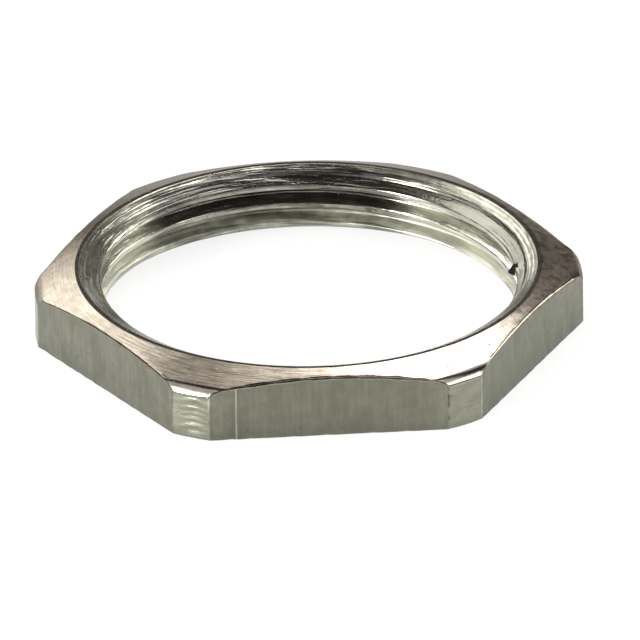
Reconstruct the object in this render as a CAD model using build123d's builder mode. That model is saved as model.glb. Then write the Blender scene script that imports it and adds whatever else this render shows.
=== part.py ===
from build123d import *
import os
from math import ceil, radians, tan

# Hexagon locknut with an M32 x 1.5 right-hand thread, turned from hexagon bar
# It lies on its plain face. The origin is the centre of that face, and +Z is the thread's axis.
# Lengths are in millimetres, and angles in degrees.

# Thread: nominal diameter, pitch, and the height on +X of the lowest crest
thread_diameter = 32.0
thread_pitch = 1.5
first_crest_height = 0.46

# Hexagon round the thread: the wall at the flats, and how far the turned corners stand out past the flats
wall_at_flats = 2.0
corner_reach = 2.0
thickness = 5.0

# Upper face: a narrow flat land round the bore, then a shallow cone, then a rounding on the corners
land_width = 0.35
bevel_angle = 21.0
corner_rounding_width = 0.6
corner_rounding_height = 0.6
corner_rounding_radius = 1.1

# Countersinks that lead the thread in at each face, as far out past the thread's diameter as given here
upper_lead_in = 0.7
lower_lead_in = 0.4
countersink_angle = 120.0

# ISO thread form, from a sharp V cut off an eighth of its height at the root and a quarter at the crest
flank_angle = 30.0
sharp_height = thread_pitch / 2 / tan(radians(flank_angle))
thread_depth = sharp_height * 5 / 8
root_width = thread_pitch / 8
crest_width = thread_pitch / 4

# Radii that follow
flat_radius = thread_diameter / 2 + wall_at_flats
corner_radius = flat_radius + corner_reach
bore_radius = thread_diameter / 2 - thread_depth
upper_countersink_radius = thread_diameter / 2 + upper_lead_in
lower_countersink_radius = thread_diameter / 2 + lower_lead_in
land_radius = upper_countersink_radius + land_width
cone_edge_radius = corner_radius - corner_rounding_width
rounding_top = thickness - (cone_edge_radius - land_radius) * tan(radians(bevel_angle))
rounding_bottom = rounding_top - corner_rounding_height

# The groove starts under the lower face and ends over the upper one
groove_start = first_crest_height - 1.5 * thread_pitch
groove_turns = ceil((thickness - groove_start) / thread_pitch) + 1

# The groove's section reaches a little into the open bore, so that the cut leaves no film there
mouth_overlap = thread_depth / 8
half_mouth = (thread_pitch - crest_width) / 2 + mouth_overlap * tan(radians(flank_angle))

# Right-hand helix that the groove follows, kept as single turns so that each swept face stays short
groove_path = Wire(
    [
        Helix(
            pitch=thread_pitch,
            height=thread_pitch,
            radius=bore_radius,
            center=(0, 0, groove_start + turn * thread_pitch),
        )
        for turn in range(groove_turns)
    ]
)

with BuildPart() as locknut:
    # Slice of hexagon bar, with flats on -Y and +Y
    with BuildSketch(Plane.XY):
        RegularPolygon(radius=flat_radius, side_count=6, major_radius=False)
    extrude(amount=thickness)

    # Turned outline: a cylinder at the corners, their rounding, the cone of the upper face and its land
    with BuildSketch(Plane.XZ):
        with BuildLine():
            Polyline(
                (cone_edge_radius, rounding_top),
                (land_radius, thickness),
                (0, thickness),
                (0, 0),
                (corner_radius, 0),
                (corner_radius, rounding_bottom),
            )
            RadiusArc(
                (corner_radius, rounding_bottom),
                (cone_edge_radius, rounding_top),
                -corner_rounding_radius,
            )
        make_face()
    revolve(axis=Axis.Z, mode=Mode.INTERSECT)

    # Bore at the thread's crests
    Hole(radius=bore_radius)

    # Thread: one groove, swept up the helix
    with BuildSketch(Plane(groove_path @ 0, x_dir=(1, 0, 0), z_dir=groove_path % 0)):
        with BuildLine():
            Polyline(
                (-mouth_overlap, -half_mouth),
                (thread_depth, -root_width / 2),
                (thread_depth, root_width / 2),
                (-mouth_overlap, half_mouth),
                close=True,
            )
        make_face()
    sweep(path=groove_path, is_frenet=True, mode=Mode.SUBTRACT)

    # Countersink at each end of the thread
    with Locations(Plane.XY.offset(thickness)):
        CounterSinkHole(
            radius=bore_radius,
            counter_sink_radius=upper_countersink_radius,
            counter_sink_angle=countersink_angle,
        )
    with Locations(-Plane.XY):
        CounterSinkHole(
            radius=bore_radius,
            counter_sink_radius=lower_countersink_radius,
            counter_sink_angle=countersink_angle,
        )

locknut.part.label = "locknut"

os.makedirs("parts", exist_ok=True)
export_step(locknut.part, "parts/locknut.step")
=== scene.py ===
import math

import bpy
import numpy as np
from mathutils import Matrix, Vector


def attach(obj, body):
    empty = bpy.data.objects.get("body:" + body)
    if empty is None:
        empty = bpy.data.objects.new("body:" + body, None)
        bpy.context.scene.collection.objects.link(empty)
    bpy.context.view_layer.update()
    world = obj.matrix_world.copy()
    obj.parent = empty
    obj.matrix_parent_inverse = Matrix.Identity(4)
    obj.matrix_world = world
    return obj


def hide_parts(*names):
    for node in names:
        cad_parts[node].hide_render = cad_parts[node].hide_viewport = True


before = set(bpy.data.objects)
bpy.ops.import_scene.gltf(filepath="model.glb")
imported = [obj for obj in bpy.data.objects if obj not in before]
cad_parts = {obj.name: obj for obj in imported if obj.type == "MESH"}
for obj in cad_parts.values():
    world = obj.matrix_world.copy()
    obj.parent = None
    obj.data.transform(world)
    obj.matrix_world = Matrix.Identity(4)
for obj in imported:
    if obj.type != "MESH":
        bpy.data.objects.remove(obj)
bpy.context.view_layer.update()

# Everything in Blender is in metres. The locknut is drawn in millimetres and scaled at the end.
MM = 0.001

# The locknut's own sizes, as in the part's source, in millimetres and degrees
THREAD_PITCH = 1.5
FIRST_CREST_HEIGHT = 0.46
THREAD_RADIUS = 16.0
CREST_RADIUS = 15.188
CREST_WIDTH = THREAD_PITCH / 4
FLANK_ANGLE = 30.0
FLAT_RADIUS = 18.0
CORNER_RADIUS = 20.0
THICKNESS = 5.0
UPPER_RIM = 16.7
LOWER_RIM = 16.4
COUNTERSINK_ANGLE = 120.0
LAND_EDGE = 17.05
CONE_EDGE = 19.4
CONE_ANGLE = 21.0
CORNER_ROUNDING_HEIGHT = 0.6
CORNER_ROUNDING_RADIUS = 1.1

# Slopes and heights that follow from them
CONE_SLOPE = math.tan(math.radians(CONE_ANGLE))
COUNTERSINK_SLOPE = math.tan(math.radians(COUNTERSINK_ANGLE / 2))
FLANK_SLOPE = math.tan(math.radians(90 - FLANK_ANGLE))
ROUNDING_BOTTOM = THICKNESS - (CONE_EDGE - LAND_EDGE) * CONE_SLOPE - CORNER_ROUNDING_HEIGHT

# Camera: the photograph's viewing angle and framing, in degrees, millimetres and pixels
CAMERA_ELEVATION = 26.341
CAMERA_AZIMUTH = -94.257
CAMERA_ROLL = -0.828
CAMERA_DISTANCE = 1800.0
PIXELS_PER_MM = 13.704
IMAGE_SIZE = 640
AIM_RIGHT = 0.780
AIM_UP = 0.378
SENSOR_WIDTH = 36.0

# The camera comes first, and the lamps are placed round it
elevation = math.radians(CAMERA_ELEVATION)
azimuth = math.radians(CAMERA_AZIMUTH)
to_camera = Vector(
    (
        math.cos(elevation) * math.cos(azimuth),
        math.cos(elevation) * math.sin(azimuth),
        math.sin(elevation),
    )
)
straight_up = Vector((0, 0, 1))
camera_right = straight_up.cross(to_camera).normalized()
camera_up = to_camera.cross(camera_right)
away = straight_up.cross(camera_right)

camera_data = bpy.data.cameras.new("camera")
camera_data.sensor_width = SENSOR_WIDTH
camera_data.lens = PIXELS_PER_MM * CAMERA_DISTANCE / IMAGE_SIZE * SENSOR_WIDTH
camera_data.clip_start = 0.1
camera_data.clip_end = 50.0
camera = bpy.data.objects.new("camera", camera_data)
bpy.context.scene.collection.objects.link(camera)
bpy.context.scene.camera = camera
camera_place = (
    to_camera * CAMERA_DISTANCE + camera_right * AIM_RIGHT + camera_up * AIM_UP
) * MM
camera_turn = Matrix((camera_right, camera_up, to_camera)).transposed().to_4x4()
camera.matrix_world = (
    Matrix.Translation(camera_place)
    @ camera_turn
    @ Matrix.Rotation(math.radians(CAMERA_ROLL), 4, "Z")
)


# Shapes: smooth joins between two curves, and variation round the ring
def higher(a, b, blend):
    """The larger of two heights, rounded off where they cross."""
    return np.maximum(a, b) + np.maximum(blend - np.abs(a - b), 0) ** 2 / (4 * blend)


def lower(a, b, blend):
    """The smaller of two heights, rounded off where they cross."""
    return -higher(-a, -b, blend)


def peak(angle, centre, spread):
    """1 at the centre, falling smoothly to 0 on both sides of it."""
    return np.exp(-(((angle - centre) / spread) ** 2))


def ripple(angle, seed, slowest, fastest, waves=24):
    """Smooth random variation round the ring, about 1 high, the same at 0 and 360 degrees."""
    draw = np.random.RandomState(seed)
    total = np.zeros_like(angle)
    for _ in range(waves):
        count = draw.randint(slowest, fastest + 1)
        total += np.sin(np.radians(angle) * count + draw.uniform(0, 2 * math.pi))
    return total / math.sqrt(waves / 2)


def top_height(radius, edge):
    """Height of the upper face at a radius: land, cone as far as the edge, and the corners' rounding."""
    cone = THICKNESS - (radius - LAND_EDGE) * CONE_SLOPE
    width = CORNER_RADIUS - edge
    edge_height = THICKNESS - (edge - LAND_EDGE) * CONE_SLOPE
    drop = edge_height - ROUNDING_BOTTOM
    chord = np.hypot(width, drop)
    inset = np.sqrt(CORNER_ROUNDING_RADIUS**2 - (chord / 2) ** 2)
    centre_radius = edge + width / 2 - inset * drop / chord
    centre_height = edge_height - drop / 2 - inset * width / chord
    across = np.clip(radius - centre_radius, 0, CORNER_ROUNDING_RADIUS)
    rounding = centre_height + np.sqrt(CORNER_ROUNDING_RADIUS**2 - across**2)
    return np.minimum(np.where(radius > edge, rounding, cone), THICKNESS)


# Columns of the ring, in degrees from +X: evenly spaced, with four close together at each upright edge
EVEN_COLUMNS = 720
EDGE_STEPS = (-0.19, -0.06, 0.06, 0.19)
EDGE_CLEARANCE = 0.24
EDGE_ANGLE = math.degrees(math.acos(FLAT_RADIUS / CORNER_RADIUS))
edges = [60 * flat + 30 + side * EDGE_ANGLE for flat in range(6) for side in (-1, 1)]
angles = [360 * column / EVEN_COLUMNS for column in range(EVEN_COLUMNS)]
angles = [
    angle for angle in angles if min(abs(angle - edge % 360) for edge in edges) > EDGE_CLEARANCE
]
angles += [(edge + step) % 360 for edge in edges for step in EDGE_STEPS]
angles = np.array(sorted(angles))
turns = np.radians(angles)
COLUMNS = len(angles)

# Outline of the ring at each column: the flats, and the turned corners between them
EDGE_BLEND = 0.03
flat_reach = FLAT_RADIUS / np.cos(np.radians((angles % 60) - 30))
outline = lower(flat_reach, np.full_like(angles, CORNER_RADIUS), EDGE_BLEND)
on_corner = flat_reach > CORNER_RADIUS

# The turning tool left a burr on the edge where it came off each corner, and none where it came on
EDGE_HALF_WIDTH = 0.2
EDGE_BURR_HEIGHT = 0.02
EDGE_BURR_SPREAD = 0.12
from_corner = (angles + 30) % 60 - 30
leaving_angle = 30 - EDGE_ANGLE
leaving_edge = np.abs(from_corner - leaving_angle) < EDGE_HALF_WIDTH
entering_edge = np.abs(from_corner + leaving_angle) < EDGE_HALF_WIDTH
outline = outline + EDGE_BURR_HEIGHT * peak(from_corner, leaving_angle, EDGE_BURR_SPREAD)

# Finishes of the locknut's faces, in the order of its material slots
CONE, ROUNDED, LAND, FLAT, CORNER, EDGE, BURR_PAINTED_HIGHLIGHT, DULLED, SEAT, BORE, TORN = range(11)

# A run's first row lies close to its corner, and its last row a share of the way to the next corner
FIRST_ROW = 0.06
FIRST_ROW_LIMIT = 0.3
LAST_ROW = 0.84

# A rounding takes up no more than this share of the shorter run beside it
ROUNDING_LIMIT = 0.48


# Outer skin of the ring: a section of straight runs with rounded corners, made at every column at once
def rounded_section(points, roundings, runs, finishes):
    """Rows of (radius and height, finish) along a section with rounded corners."""
    rows = []
    last = len(points) - 1
    for index, point in enumerate(points):
        place = np.stack(point, 1)
        if index in roundings:
            before = np.stack(points[index - 1], 1) - place
            after = np.stack(points[index + 1], 1) - place
            before_length = np.linalg.norm(before, axis=1)
            after_length = np.linalg.norm(after, axis=1)
            before = before / before_length[:, None]
            after = after / after_length[:, None]
            rounding, pieces, rounding_finish = roundings[index]
            bend = np.pi - np.arccos(np.clip((before * after).sum(1), -1, 1))
            tangent = rounding * np.tan(bend / 2)
            tangent = np.minimum(tangent, ROUNDING_LIMIT * np.minimum(before_length, after_length))
            start = place + before * tangent[:, None]
            end = place + after * tangent[:, None]
            for piece in range(pieces + 1):
                t = piece / pieces
                on_arc = start * (1 - t) ** 2 + place * 2 * t * (1 - t) + end * t**2
                rows.append((on_arc, rounding_finish if piece < pieces else finishes[index]))
        else:
            rows.append((place, finishes[min(index, last - 1)]))
        if index < last and runs[index] > 1:
            here = rows[-1][0]
            towards = np.stack(points[index + 1], 1)
            gap = np.linalg.norm(towards - here, axis=1)
            first = np.minimum(FIRST_ROW_LIMIT, FIRST_ROW / gap)[:, None]
            for step in range(runs[index]):
                share = first + (LAST_ROW - first) * step / (runs[index] - 1)
                rows.append((here + (towards - here) * share, finishes[index]))
    return rows


def full(value):
    """The same value at every column."""
    return np.full_like(angles, value)


# The skin ends just inside the bore, on the countersinks
BORE_TOP = 4.94
BORE_BOTTOM = 0.06

# On the +X and -X corners the cone runs out a little further, and the rounding is narrower
RUN_OUT = 0.32
RUN_OUT_SPREAD = 9
run_out = CONE_EDGE + RUN_OUT * peak((angles + 90) % 180 - 90, 0, RUN_OUT_SPREAD)

# The cone stops short of the outline to leave room for the worn edge, more so along the flats
EDGE_ROOM = 0.28
FLAT_EDGE_ROOM = 0.32
cone_edge = np.minimum(run_out, outline - EDGE_ROOM - FLAT_EDGE_ROOM * (outline < CONE_EDGE))
corner_share = np.clip((outline - CONE_EDGE) / (CORNER_RADIUS - CONE_EDGE), 0, 1)

# Radius of the worn edges: uneven, larger on the corners, and sharpest near one end of the left flat
WORN_RADIUS = 0.28
CORNER_EXTRA_RADIUS = 0.1
SHARPEST_ANGLE = 194
SHARPEST_SPREAD = 15
SHARPEST_SHARE = 0.55
worn_radius = WORN_RADIUS + 0.05 * ripple(angles, seed=3, slowest=6, fastest=70)
worn_radius = np.clip(worn_radius, 0.18, 0.38) + CORNER_EXTRA_RADIUS * corner_share
worn_radius = worn_radius * (1 - SHARPEST_SHARE * peak(angles, SHARPEST_ANGLE, SHARPEST_SPREAD))
seat_radius = 0.07 + 0.03 * ripple(angles, seed=4, slowest=10, fastest=110)
seat_radius = np.clip(seat_radius, 0.03, 0.2)


def on_rounding(share):
    """Radius part of the way from the cone's edge to the outline, twice as far on the corners."""
    return cone_edge + (outline - cone_edge) * share * (1 + np.minimum(3 * corner_share, 1))


section = [
    (full(UPPER_RIM - (THICKNESS - BORE_TOP) * COUNTERSINK_SLOPE), full(BORE_TOP)),
    (full(UPPER_RIM), full(THICKNESS)),
    (full(LAND_EDGE), full(THICKNESS)),
    (cone_edge, top_height(cone_edge, run_out)),
    (on_rounding(0.1), top_height(on_rounding(0.1), run_out)),
    (on_rounding(0.2), top_height(on_rounding(0.2), run_out)),
    (on_rounding(0.3), top_height(on_rounding(0.3), run_out)),
    (outline, top_height(outline, run_out)),
    (outline, full(0.0)),
    (full(LOWER_RIM), full(0.0)),
    (full(LOWER_RIM - BORE_BOTTOM * COUNTERSINK_SLOPE), full(BORE_BOTTOM)),
]

# Radius, number of pieces and finish of the section's rounded corners
roundings = {
    1: (full(0.2), 3, BORE),
    2: (full(0.12), 2, CONE),
    7: (worn_radius, 6, EDGE),
    8: (seat_radius, 3, EDGE),
    9: (full(0.05), 2, EDGE),
}

# Rows and finish of each straight run between two corners
runs = [1, 2, 8, 1, 1, 1, 1, 22, 4, 1]
run_finishes = [BORE, LAND, CONE, ROUNDED, ROUNDED, ROUNDED, ROUNDED, FLAT, SEAT, BORE]
skin = rounded_section(section, roundings, runs, run_finishes)

# The turned corners keep the tool's feed lines, which are deepest at one place on the near left corner
FEED = 0.5
FEED_DEPTH = 0.05
FEED_DRIFT = 0.15
FEED_DRIFT_LENGTH = 1.9
FEED_UNEVENNESS = 0.6
SHALLOW_SHARE = 0.2
DEEPEST_ANGLE = 240.2
DEEPEST_SPREAD = 2
feed_share = SHALLOW_SHARE + (1 - SHALLOW_SHARE) * peak(angles, DEEPEST_ANGLE, DEEPEST_SPREAD)
feed_share = np.where(on_corner, feed_share, 0.0)
feed_ripple = FEED_UNEVENNESS * ripple(angles, seed=5, slowest=3, fastest=60)
for place, finish in skin:
    if finish == FLAT:
        drift = FEED_DRIFT * np.sin(2 * math.pi * place[:, 1] / FEED_DRIFT_LENGTH)
        line = 1 + np.sin(2 * math.pi * (place[:, 1] / FEED + drift) + feed_ripple)
        place[:, 0] -= feed_share * FEED_DEPTH / 2 * line

# Bore: a height field of radius over angle and height, with rows that follow the thread's helix
THREAD_BLEND = 0.05
SINK_BLEND = 0.03
ROW_CLEARANCE = 0.02
THREAD_TURNS = range(-3, 5)

# Rows of a pitch, by their distance from the middle of a crest
half_rows = [0.0, 0.12, 0.17, 0.205, 0.25, 0.36, 0.50, 0.61, 0.655, 0.69, 0.75]
pitch_rows = [-step for step in half_rows[:0:-1]] + half_rows[:-1]
ROWS_PER_PITCH = len(pitch_rows)


def thread_radius(from_crest):
    """Radius of the ISO thread at a distance up from the middle of a crest."""
    slope = (np.abs(from_crest) - CREST_WIDTH / 2) * FLANK_SLOPE
    depth = THREAD_RADIUS - CREST_RADIUS
    return CREST_RADIUS + lower(higher(slope, 0, THREAD_BLEND), depth, THREAD_BLEND)


def bore_column(angle):
    """Heights of one column of the bore, each with the number of the helix row that it lies on."""
    crest = FIRST_CREST_HEIGHT + THREAD_PITCH * angle / 360
    heights = []
    for turn in THREAD_TURNS:
        for number, step in enumerate(pitch_rows):
            height = crest + turn * THREAD_PITCH + step
            if BORE_BOTTOM + ROW_CLEARANCE < height < BORE_TOP - ROW_CLEARANCE:
                heights.append((turn * ROWS_PER_PITCH + number, height, step))
    return heights


# A torn burr stands on one crest, on the +X side
BURR_ANGLE = 2.0
BURR_HEIGHT = 3.3
BURR_REACH = 0.55
BURR_LENGTH = 0.55
BURR_WIDTH = 0.42
BURR_FROM = 0.15

# Small nicks and burrs lie on the crests, and fade out on the flanks
NICKS = 260
NICKED_RADIUS = 15.6
NICK_FADE = 0.4
nick_draw = np.random.RandomState(11)
nick_angle = nick_draw.uniform(0, 360, NICKS)
nick_height = nick_draw.uniform(0.2, 4.8, NICKS)
nick_length = nick_draw.uniform(0.12, 0.7, NICKS)
nick_width = nick_draw.uniform(0.05, 0.14, NICKS)
nick_depth = nick_draw.uniform(-0.05, 0.09, NICKS)


def along_crest(angle, start):
    """Distance along the crests from one angle to another, the shorter way round."""
    return ((angle - start + 180) % 360 - 180) * math.pi / 180 * CREST_RADIUS


def nicks(angle, height):
    """Torn places on the thread's crests."""
    total = np.zeros_like(height)
    for nick in range(NICKS):
        along = along_crest(angle, nick_angle[nick])
        if abs(along) < 2 * nick_length[nick]:
            up = (height - nick_height[nick]) / nick_width[nick]
            total += nick_depth[nick] * np.exp(-((along / nick_length[nick]) ** 2 + up**2))
    return total


# The mesh is gathered as points and faces
points = []
faces = []
face_finishes = []


def add_row(place):
    """Adds one row of points round the ring and gives back their numbers. No burr passes the flats."""
    first = len(points)
    for radius, height, turn in zip(place[:, 0], place[:, 1], turns):
        across = max(-FLAT_RADIUS, min(FLAT_RADIUS, radius * math.sin(turn)))
        points.append((radius * math.cos(turn), across, height))
    return list(range(first, len(points)))


def skin_finish(finish, column, after):
    """Finish of a face of the skin, by whether it lies on a flat, on a turned corner or between them."""
    both_on_corner = on_corner[column] and on_corner[after]
    # Faces on the edge where the tool came off get a bright finish: a small real burr, with a painted
    # highlight line along the upright edge
    if finish == FLAT and leaving_edge[column] and leaving_edge[after]:
        return BURR_PAINTED_HIGHLIGHT
    if finish == FLAT and entering_edge[column] and entering_edge[after]:
        return DULLED
    if finish == FLAT and both_on_corner:
        return CORNER
    if finish == ROUNDED and outline[column] < CONE_EDGE:
        return CONE
    if finish == EDGE and both_on_corner:
        return ROUNDED
    return finish


skin_rows = [add_row(place) for place, _ in skin]
for above, below, (_, finish) in zip(skin_rows, skin_rows[1:], skin):
    for column in range(COLUMNS):
        after = (column + 1) % COLUMNS
        faces.append((above[column], below[column], below[after], above[after]))
        face_finishes.append(skin_finish(finish, column, after))

bore_columns = []
for column, angle in enumerate(angles):
    found = bore_column(angle)
    heights = np.array([height for _, height, _ in found])
    radius = thread_radius(np.array([step for _, _, step in found]))
    crest_share = np.clip((NICKED_RADIUS - radius) / NICK_FADE, 0, 1)
    radius = radius + nicks(angle, heights) * crest_share
    burr_along = along_crest(angle, BURR_ANGLE) / BURR_LENGTH
    burr = np.exp(-(burr_along**2) - ((heights - BURR_HEIGHT) / BURR_WIDTH) ** 2)
    radius = radius - BURR_REACH * burr
    upper_sink = UPPER_RIM - (THICKNESS - heights) * COUNTERSINK_SLOPE
    lower_sink = LOWER_RIM - heights * COUNTERSINK_SLOPE
    radius = higher(radius, np.maximum(upper_sink, lower_sink), SINK_BLEND)
    order = [("bottom", skin_rows[-1][column], False)]
    for (key, height, _), r, torn in zip(found, radius, burr > BURR_FROM):
        order.append((key, len(points), torn))
        points.append((r * math.cos(turns[column]), r * math.sin(turns[column]), height))
    order.append(("top", skin_rows[0][column], False))
    bore_columns.append(order)

# Neighbouring columns are joined between the helix rows that both of them have
for column in range(COLUMNS):
    after = (column + 1) % COLUMNS
    left = bore_columns[column]
    right = bore_columns[after]
    shift = -ROWS_PER_PITCH if after == 0 else 0
    right_keys = {
        (key if isinstance(key, str) else key + shift): place
        for place, (key, _, _) in enumerate(right)
    }
    shared = [(i, right_keys[key]) for i, (key, _, _) in enumerate(left) if key in right_keys]
    for (low_left, low_right), (high_left, high_right) in zip(shared, shared[1:]):
        loop = [left[i][1] for i in range(low_left, high_left + 1)]
        loop += [right[i][1] for i in range(high_right, low_right - 1, -1)]
        faces.append(tuple(loop))
        face_finishes.append(TORN if left[low_left][2] and left[high_left][2] else BORE)

mesh = bpy.data.meshes.new("locknut_finish")
mesh.from_pydata([(x * MM, y * MM, z * MM) for x, y, z in points], [], faces)
mesh.polygons.foreach_set("material_index", face_finishes)
mesh.polygons.foreach_set("use_smooth", [True] * len(faces))
mesh.update()
mesh.validate()
locknut = bpy.data.objects.new("locknut_finish", mesh)
bpy.context.scene.collection.objects.link(locknut)


# Shader values, materials and the world
class Value:
    """A number that varies over a surface. Arithmetic on it adds Math nodes."""

    def __init__(self, finish, socket):
        self.finish = finish
        self.socket = socket

    def maths(self, operation, *numbers):
        return self.finish.node(
            "ShaderNodeMath", {"operation": operation}, dict(enumerate(numbers))
        )

    def __add__(self, other):
        return self.maths("ADD", self, other)

    def __radd__(self, other):
        return self.maths("ADD", other, self)

    def __sub__(self, other):
        return self.maths("SUBTRACT", self, other)

    def __rsub__(self, other):
        return self.maths("SUBTRACT", other, self)

    def __mul__(self, other):
        return self.maths("MULTIPLY", self, other)

    def __rmul__(self, other):
        return self.maths("MULTIPLY", other, self)

    def __truediv__(self, other):
        return self.maths("DIVIDE", self, other)

    def __pow__(self, other):
        return self.maths("POWER", self, other)

    def __abs__(self):
        return self.maths("ABSOLUTE", self)


class Finish:
    """One material, or the world, while it is made."""

    def __init__(self, name, kept_in=bpy.data.materials, last_node="ShaderNodeOutputMaterial"):
        self.made = kept_in.new(name)
        self.made.use_nodes = True
        self.tree = self.made.node_tree
        self.tree.nodes.clear()
        self.last_node = last_node

    def node(self, kind, settings=None, inputs=None, output=0):
        """Adds a node, its settings first and then its inputs, and gives back one of its outputs."""
        added = self.tree.nodes.new(kind)
        for name, setting in (settings or {}).items():
            setattr(added, name, setting)
        for name, value in (inputs or {}).items():
            if isinstance(value, Value):
                self.tree.links.new(value.socket, added.inputs[name])
            else:
                added.inputs[name].default_value = value
        return Value(self, added.outputs[output]) if added.outputs else None

    def fade(self, value, start, end):
        """0 up to start and 1 from end on, with a smooth step between."""
        return self.node(
            "ShaderNodeMapRange",
            {"interpolation_type": "SMOOTHSTEP", "clamp": True},
            {"Value": value, "From Min": start, "From Max": end},
        )

    def mix(self, share, colour, other):
        """A mix of two colours."""
        return self.node(
            "ShaderNodeMix", {"data_type": "RGBA"}, {0: share, 6: colour, 7: other}, output=2
        )

    def noise(self, vector, scale, detail=3.0, roughness=0.55):
        """Cloudy random values about a half."""
        return self.node(
            "ShaderNodeTexNoise",
            {},
            {"Vector": vector, "Scale": scale, "Detail": detail, "Roughness": roughness},
        )

    def vector(self, x, y, z):
        """A vector from three numbers."""
        return self.node("ShaderNodeCombineXYZ", {}, {0: x, 1: y, 2: z})

    def part_of(self, vector, axis):
        """One number of a vector: 0 for x, 1 for y and 2 for z."""
        return self.node("ShaderNodeSeparateXYZ", {}, {0: vector}, axis)

    def light_path(self, output):
        """1 for the rays that the output names, and 0 for others."""
        return self.node("ShaderNodeLightPath", output=output)

    def end(self, shader):
        """Joins the shader to the last node, and gives back the finished material or world."""
        self.node(self.last_node, {}, {"Surface": shader})
        return self.made


class Plating(Finish):
    """Nickel plating while it is made, with each point's place on the locknut in millimetres."""

    def __init__(self, name):
        super().__init__(name)
        place = self.node("ShaderNodeTexCoord", output="Object")
        self.place = self.node(
            "ShaderNodeVectorMath", {"operation": "SCALE"}, {0: place, 3: 1 / MM}
        )
        self.x = self.part_of(self.place, 0)
        self.y = self.part_of(self.place, 1)
        self.z = self.part_of(self.place, 2)
        self.radius = (self.x * self.x + self.y * self.y) ** 0.5

    def around(self, count, across):
        """Place for a noise of so many marks to the radian round the ring, and some across them."""
        return self.vector(self.x / self.radius * count, self.y / self.radius * count, across)

    def up_helix(self):
        """Height above the thread's lowest crest, which climbs with the helix. It jumps at -Y."""
        turn = self.node("ShaderNodeMath", {"operation": "ARCTAN2"}, {0: self.x, 1: self.y})
        rise = turn * (THREAD_PITCH / (2 * math.pi))
        return self.z + rise - (FIRST_CREST_HEIGHT + THREAD_PITCH / 4)


# Light that the metal sends back at a glancing angle, as a share of what a clean mirror would
WORN = (0.42, 0.41, 0.4, 1)
CLEAN = (0.9, 0.9, 0.9, 1)

# Tints of the small marks, as they look under a plain white light, and tints of painted light and shade
# where so marked
PIT = (0.04, 0.04, 0.033, 1)
FACE_SCORE = (0.12, 0.1, 0.08, 1)
FACE_PATCH = (0.41, 0.335, 0.3, 1)
FACE_STAIN = (0.12, 0.085, 0.075, 1)
# Painted shade on the front flat, standing in for the shadowed floor that it mirrors
FRONT_FLAT_PAINTED_SHADE = (0.06, 0.064, 0.045, 1)
FLAT_PATCH = (0.16, 0.162, 0.12, 1)
FLAT_STREAK = (0.115, 0.12, 0.088, 1)
FLAT_SCRATCH = (0.5, 0.5, 0.42, 1)
# Painted light on the bore's side walls
THREAD_PAINTED_LIGHT = (0.9, 0.9, 0.78, 1)
THREAD_SCORE = (0.09, 0.09, 0.075, 1)
# Painted shade in the bore: on the far wall, under the flanks, and on the upward flanks high on the +X
# side
THREAD_PAINTED_SHADE = (0.05, 0.047, 0.047, 1)
THREAD_PAINTED_UNDERSHADE = (0.032, 0.03, 0.03, 1)
THREAD_PAINTED_FLANK_SHADE = (0.11, 0.11, 0.09, 1)
SINK_RIDGE = (0.09, 0.085, 0.075, 1)

# The upright scratch on the front flat, in millimetres
SCRATCH_X = -6.73
SCRATCH_HALF_WIDTH = 0.03
SCRATCH_FADE = 0.08


def mark_face(metal, tone, marks, pebble, patches):
    """Turned face: scored at the near left, patchy, and stained on the +X side."""
    near_left = metal.fade(-0.485 * metal.x / metal.radius - 0.875 * metal.y / metal.radius, 0.72, 0.97)
    lines = metal.noise(marks, 1.6, detail=2.0, roughness=0.6)
    lines = metal.fade(lines, 0.48, 0.62)
    stained = metal.fade(metal.x / metal.radius, 0.7, 0.9) * metal.fade(pebble, 0.5, 0.62)
    tone = metal.mix(near_left * lines * 0.65, tone, FACE_SCORE)
    tone = metal.mix(metal.fade(patches, 0.42, 0.58) * 0.25, tone, FACE_PATCH)
    return metal.mix(stained * 0.45, tone, FACE_STAIN)


def mark_flat(metal, tone, coarse, patches):
    """Drawn flat: patchy and streaked, with painted shade on the front one, and the scratch on it."""
    front = metal.fade(0 - metal.y / metal.radius, 0.88, 0.95)
    off_scratch = metal.fade(abs(metal.x - SCRATCH_X), SCRATCH_HALF_WIDTH, SCRATCH_FADE)
    scratch = front * (1 - off_scratch) * metal.fade(coarse, 0.3, 0.5)
    streaks = metal.noise(metal.around(16, metal.z * 0.3), 1.0, detail=3.0, roughness=0.6)
    # Painted shade: the front flat is darkened, as if it mirrored the shadowed floor in front of it
    tone = metal.mix(front * 0.3, tone, FRONT_FLAT_PAINTED_SHADE)
    tone = metal.mix(patches * 0.35, tone, FLAT_PATCH)
    tone = metal.mix(metal.fade(streaks, 0.45, 0.68) * 0.4, tone, FLAT_STREAK)
    return metal.mix(scratch * 0.6, tone, FLAT_SCRATCH)


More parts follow.
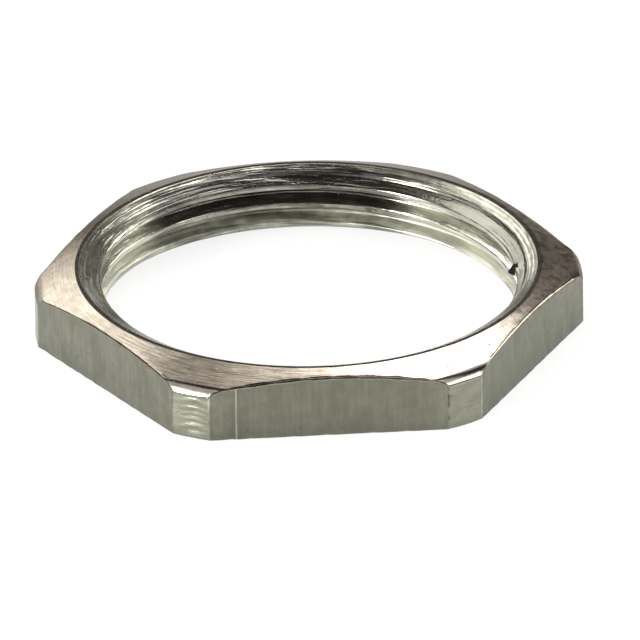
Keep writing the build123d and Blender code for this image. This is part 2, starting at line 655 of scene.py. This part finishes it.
def mark_bore(metal, tone, up_helix, coarse, fine, pebble, roughness):
    """Bore: scored by the tap up the helix, with ridged countersinks, painted light on the side walls,
    and painted shade on the far wall, under the flanks and on the upward flanks high on the +X side.
    """
    upper_sink = THICKNESS - (UPPER_RIM - metal.radius) / COUNTERSINK_SLOPE
    lower_sink = (LOWER_RIM - metal.radius) / COUNTERSINK_SLOPE
    on_upper = 1 - metal.fade(abs(metal.z - upper_sink), 0.02, 0.05)
    on_lower = 1 - metal.fade(abs(metal.z - lower_sink), 0.02, 0.05)
    in_groove = (1 - on_upper) * (1 - on_lower) * (1 - metal.fade(metal.radius, 16.1, 16.2))
    below_rim = on_upper * (1 - metal.fade(metal.radius, 16.2, 16.5))
    crest = 1 - metal.fade(metal.radius, CREST_RADIUS + 0.01, CREST_RADIUS + 0.05)
    facing_up = metal.part_of(metal.node("ShaderNodeTexCoord", output="Normal"), 2)
    facing_down = metal.fade(0 - facing_up, 0.3, 0.6)

    # The height up the helix jumps at -Y, so what follows it fades out there
    off_seam = metal.fade(metal.y / metal.radius, -0.92, -0.6)
    lowest = (1 - metal.fade(up_helix, 1.2, 1.34)) * off_seam
    scores = metal.noise(metal.around(3, up_helix * 3.4), 1.0, detail=1.0)
    scores = metal.fade(scores, 0.42, 0.56) * off_seam
    ridges = metal.noise(metal.around(1.5, metal.radius * 6), 1.0, detail=1.0)

    # Masks for the painted light and shade round the bore: the far wall is painted darker, and the sides
    # are the rest
    right_side = metal.fade(metal.x / metal.radius, 0.25, 0.6)
    far_side = metal.y / metal.radius - metal.x / metal.radius * 0.1 + (fine - 0.5) * 0.12
    far_side = metal.fade(far_side, 0.74, 0.88)
    sides = 1 - far_side
    # The stained mask is painted shade: the grooves, half as much on the crests and not in the lowest
    # one, and the upper countersink by the rim; it is used on the far wall only
    stained = in_groove * (1 - crest * 0.5) * (1 - lowest) + below_rim * 1.15
    # The dulled mask is painted shade: upward-facing flanks in the grooves, high on the +X side
    dulled = right_side * in_groove * metal.fade(facing_up, 0.4, 0.7) * metal.fade(metal.z, 3.2, 3.6)
    # Painted light: the side walls of the bore, away from the far wall, are lightened
    tone = metal.mix(sides * (1 - on_upper) * 0.55, tone, THREAD_PAINTED_LIGHT)
    tone = metal.mix(scores * (0.62 - sides * 0.25), tone, THREAD_SCORE)
    # Painted shade on the far wall of the bore
    tone = metal.mix(stained * far_side * 0.74, tone, THREAD_PAINTED_SHADE)
    # Painted shade under the thread: flanks that face down in the grooves are darkened
    tone = metal.mix(facing_down * in_groove * 0.1, tone, THREAD_PAINTED_UNDERSHADE)
    # Painted shade on those upward flanks
    tone = metal.mix(dulled * 0.85, tone, THREAD_PAINTED_FLANK_SHADE)
    tone = metal.mix(on_upper * metal.fade(ridges, 0.4, 0.6) * 0.6, tone, SINK_RIDGE)

    coarse = coarse + scores * 0.9 + ridges * on_upper * 2
    grit = metal.noise(metal.place, 5.0, detail=2.0, roughness=0.6)
    pebble = pebble + grit * (1 - on_upper)
    roughness = roughness + on_upper * 0.06 + on_lower * 0.16 + lowest * in_groove * 0.3
    return tone, coarse, pebble, roughness


def nickel(
    name, grain, bright, dull, contrast, roughness, relief, glancing=WORN, pits=0.0, blotch=0.5
):
    """Nickel plating over machined brass.

    The grain says which way the tool's marks run: "upright", "round" on a face, "level" on a wall,
    or along the "thread". The relief is the depth of the marks in millimetres.
    """
    metal = Plating(name)
    if grain == "upright":
        marks = metal.around(70, metal.z * 0.25)
    elif grain == "round":
        marks = metal.around(5, metal.radius * 7)
    elif grain == "thread":
        up_helix = metal.up_helix()
        marks = metal.around(5, up_helix * 5)
    else:
        marks = metal.around(8, metal.z * 8)
    coarse = metal.noise(marks, 1.0, detail=2.0)
    fine = metal.noise(marks, 2.7, detail=3.0, roughness=0.7)
    pebble = metal.noise(metal.place, 1.3, detail=2.0, roughness=0.5)
    patches = metal.noise(metal.place, 0.42, detail=3.0, roughness=0.6)
    pit = metal.noise(metal.place, 3.1, detail=2.0, roughness=0.5)
    pit = metal.fade(pit, 0.71 - pits, 0.76 - pits)
    shade = coarse * (1 - blotch) + fine * 0.4 + patches * 0.4 + pebble * blotch
    tone = metal.mix(metal.fade(shade, 0.65, 1.15) * contrast, bright, dull)
    tone = metal.mix(pit * 0.7, tone, PIT)
    if grain == "round":
        tone = mark_face(metal, tone, marks, pebble, patches)
    elif grain == "upright":
        tone = mark_flat(metal, tone, coarse, patches)
    elif grain == "thread":
        tone, coarse, pebble, roughness = mark_bore(
            metal, tone, up_helix, coarse, fine, pebble, roughness
        )
    height = fine * 0.5 + coarse * 0.6 + pebble * blotch - pit * 1.2
    normal = metal.node(
        "ShaderNodeBump", {}, {"Height": height, "Distance": relief * MM, "Strength": 1.0}
    )
    shader = metal.node(
        "ShaderNodeBsdfPrincipled",
        {},
        {
            "Base Color": tone,
            "Metallic": 1.0,
            "Roughness": roughness + (fine - 0.5) * 0.12 + pit * 0.2,
            "Specular Tint": glancing,
            "Normal": normal,
        },
    )
    return metal.end(shader)


# Colours as they look under a plain white light, apart from the painted highlight marked below: bright
# plating first, then the same dulled
materials = {
    CONE: nickel(
        "turned cone", "round", (0.40, 0.365, 0.31, 1), (0.18, 0.162, 0.126, 1),
        contrast=0.7, roughness=0.24, relief=0.012,
    ),
    ROUNDED: nickel(
        "turned rounding", "round", (0.34, 0.33, 0.29, 1), (0.2, 0.19, 0.16, 1),
        contrast=0.8, roughness=0.14, relief=0.008,
    ),
    LAND: nickel(
        "turned land", "round", (0.4, 0.37, 0.32, 1), (0.2, 0.18, 0.14, 1),
        contrast=0.8, roughness=0.22, relief=0.010,
    ),
    FLAT: nickel(
        "drawn flat", "upright", (0.238, 0.242, 0.192, 1), (0.158, 0.163, 0.124, 1),
        contrast=0.8, roughness=0.30, relief=0.006, glancing=CLEAN, pits=0.01,
    ),
    CORNER: nickel(
        "turned corner", "level", (0.27, 0.275, 0.218, 1), (0.162, 0.167, 0.13, 1),
        contrast=0.7, roughness=0.32, relief=0.014, glancing=CLEAN,
    ),
    EDGE: nickel(
        "worn edge", "round", (0.3, 0.29, 0.24, 1), (0.14, 0.13, 0.1, 1),
        contrast=1.0, roughness=0.16, relief=0.012,
    ),
    # Painted highlight: a bright copy of the flat's finish that draws a white line along the upright
    # edge where the tool came off; the small burr under it is real geometry
    BURR_PAINTED_HIGHLIGHT: nickel(
        "burr with painted highlight", "upright", (0.55, 0.55, 0.47, 1), (0.25, 0.25, 0.2, 1),
        contrast=1.0, roughness=0.25, relief=0.006, glancing=CLEAN,
    ),
    DULLED: nickel(
        "dulled edge", "level", (0.26, 0.265, 0.21, 1), (0.05, 0.05, 0.04, 1),
        contrast=1.0, roughness=0.3, relief=0.012, glancing=CLEAN, pits=0.05, blotch=0.9,
    ),
    SEAT: nickel(
        "plain seat", "round", (0.34, 0.335, 0.28, 1), (0.22, 0.21, 0.17, 1),
        contrast=0.8, roughness=0.28, relief=0.010,
    ),
    BORE: nickel(
        "bore", "thread", (0.6, 0.6, 0.51, 1), (0.26, 0.26, 0.21, 1),
        contrast=1.0, roughness=0.17, relief=0.026, glancing=CLEAN,
    ),
    TORN: nickel(
        "torn burr", "level", (0.03, 0.028, 0.025, 1), (0.015, 0.015, 0.015, 1),
        contrast=0.9, roughness=0.5, relief=0.03,
    ),
}
for finish in sorted(materials):
    mesh.materials.append(materials[finish])

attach(locknut, "root")
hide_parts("locknut")

# Floor: pale, and shown to the camera and to the metal partly at full white, with the shadow kept
FLOOR_SIZE = 6.0
FLOOR_GREY = (0.8, 0.8, 0.8, 1)
FULL_WHITE = (1, 1, 1, 1)
FLOOR_SHOWN_WHITE = 0.86
FLOOR_MIRRORED_WHITE = 0.5

# The floor lies just under the locknut, so that the two faces don't meet
FLOOR_DROP = 0.00002
floor_mesh = bpy.data.meshes.new("floor")
half = FLOOR_SIZE / 2
floor_mesh.from_pydata(
    [(-half, -half, 0), (half, -half, 0), (half, half, 0), (-half, half, 0)], [], [(0, 1, 2, 3)]
)
floor = bpy.data.objects.new("floor", floor_mesh)
floor.location.z = -FLOOR_DROP
bpy.context.scene.collection.objects.link(floor)
paper = Finish("pale floor")
matt = paper.node("ShaderNodeBsdfDiffuse", {}, {"Color": FLOOR_GREY})
white = paper.node("ShaderNodeEmission", {}, {"Color": FULL_WHITE, "Strength": 1.0})
mirrored = paper.light_path("Is Glossy Ray") + paper.light_path("Is Transmission Ray")
share = paper.light_path("Is Camera Ray") * FLOOR_SHOWN_WHITE + mirrored * FLOOR_MIRRORED_WHITE
floor_mesh.materials.append(
    paper.end(paper.node("ShaderNodeMixShader", {}, {0: share, 1: matt, 2: white}))
)

# World: a dim warm room, shown to the camera as plain white beyond the floor
ROOM_COLOUR = (1.0, 0.92, 0.86, 1)
ROOM_STRENGTH = 0.05
ROOM_MIRRORED_WHITE = 0.01
room = Finish("room", bpy.data.worlds, "ShaderNodeOutputWorld")
dim = room.node("ShaderNodeBackground", {}, {"Color": ROOM_COLOUR, "Strength": ROOM_STRENGTH})
white = room.node("ShaderNodeBackground", {}, {"Color": FULL_WHITE, "Strength": 1.0})
mirrored = room.light_path("Is Glossy Ray") + room.light_path("Is Transmission Ray")
share = room.light_path("Is Camera Ray") + mirrored * ROOM_MIRRORED_WHITE
bpy.context.scene.world = room.end(
    room.node("ShaderNodeMixShader", {}, {0: share, 1: dim, 2: white})
)


# Lamps: soft panels, placed by their direction from the locknut as the camera sees it
def panel(name, place, size, radiance, colour, aim=None, mirrored=True):
    """A soft rectangular lamp, in metres, that faces its aim or else hangs level.

    Its place is how far it is to the right, back and up. Its radiance is how bright it looks.
    """
    lamp = bpy.data.lights.new(name, "AREA")
    lamp.shape = "RECTANGLE"
    lamp.size, lamp.size_y = size
    lamp.color = colour
    lamp.energy = radiance * size[0] * size[1] * math.pi
    made = bpy.data.objects.new(name, lamp)
    sideways, back, up = place
    place = camera_right * sideways + away * back + straight_up * up
    if aim is None:
        facing = straight_up
        across = camera_right
    else:
        facing = (place - aim).normalized()
        across = straight_up.cross(facing).normalized()
    upright = facing.cross(across)
    made.matrix_world = (
        Matrix.Translation(place) @ Matrix((across, upright, facing)).transposed().to_4x4()
    )
    made.visible_camera = False
    made.visible_glossy = mirrored
    bpy.context.scene.collection.objects.link(made)


PAPER_WHITE = (1.0, 1.0, 1.0)
KEY_WHITE = (1.0, 0.99, 0.97)
WARM_WHITE = (1.0, 0.97, 0.9)
SIDE_WHITE = (1.0, 0.985, 0.95)
TOP_WHITE = (1.0, 0.98, 0.95)

# Level panels beyond the locknut, which its cone mirrors
level_panels = (
    ("key", (0.23, 0.66, 1.0), (0.36, 0.75), 7.5, KEY_WHITE),
    ("key far corner", (0.49, 0.825, 1.0), (0.16, 0.42), 7.5, KEY_WHITE),
    ("key near corner", (0.52, 0.42, 1.01), (0.22, 0.38), 0.9, KEY_WHITE),
    ("key wing", (0.98, 0.72, 1.02), (0.7, 0.62), 0.6, (1.0, 0.99, 0.95)),
    ("near wing", (-0.06, 0.67, 1.0), (0.22, 0.73), 2.8, WARM_WHITE),
    ("middle", (-0.29, 0.74, 1.02), (0.24, 0.64), 0.5, WARM_WHITE),
    ("left", (-0.87, 1.7, 1.0), (0.9, 2.66), 3.5, SIDE_WHITE),
)
for name, place, size, radiance, colour in level_panels:
    panel(name, place, size, radiance, colour)

# Panels round the locknut, which face a point on its axis at the height given last
aimed_panels = (
    ("left low", (-0.55, 0.9, 0.1), (0.6, 0.4), 1.6, SIDE_WHITE, 0),
    ("right low", (0.33, 0.88, 0.04), (0.3, 0.08), 2.4, TOP_WHITE, 0),
    ("right back", (0.42, 1.1, 0.5), (0.45, 0.6), 0.2, (1.0, 0.97, 0.93), 0),
    ("right", (1.0, 0.55, 0.42), (0.7, 0.5), 6.5, (1.0, 0.98, 0.92), 0),
    ("front left", (-0.727, -0.454, 0.515), (0.5, 0.3), 7.0, PAPER_WHITE, 0),
    ("front left strip", (-0.7, -0.565, 0.24), (0.14, 0.46), 85.0, (1.0, 1.0, 0.97), 0.24),
    ("front right", (0.847, -0.275, 0.454), (0.45, 0.3), 5.0, PAPER_WHITE, 0),
    ("front top", (0.55, -0.62, 1.15), (1.2, 0.7), 1.3, TOP_WHITE, 0),
    ("front top left", (-0.75, -0.3, 1.15), (0.7, 0.7), 1.0, TOP_WHITE, 0),
)
for name, place, size, radiance, colour, aim_height in aimed_panels:
    panel(name, place, size, radiance, colour, Vector((0, 0, aim_height)))

panel("fill", (0.0, 0.1, 1.6), (1.4, 1.4), 2.0, PAPER_WHITE, mirrored=False)

bpy.context.scene.view_settings.view_transform = "Standard"
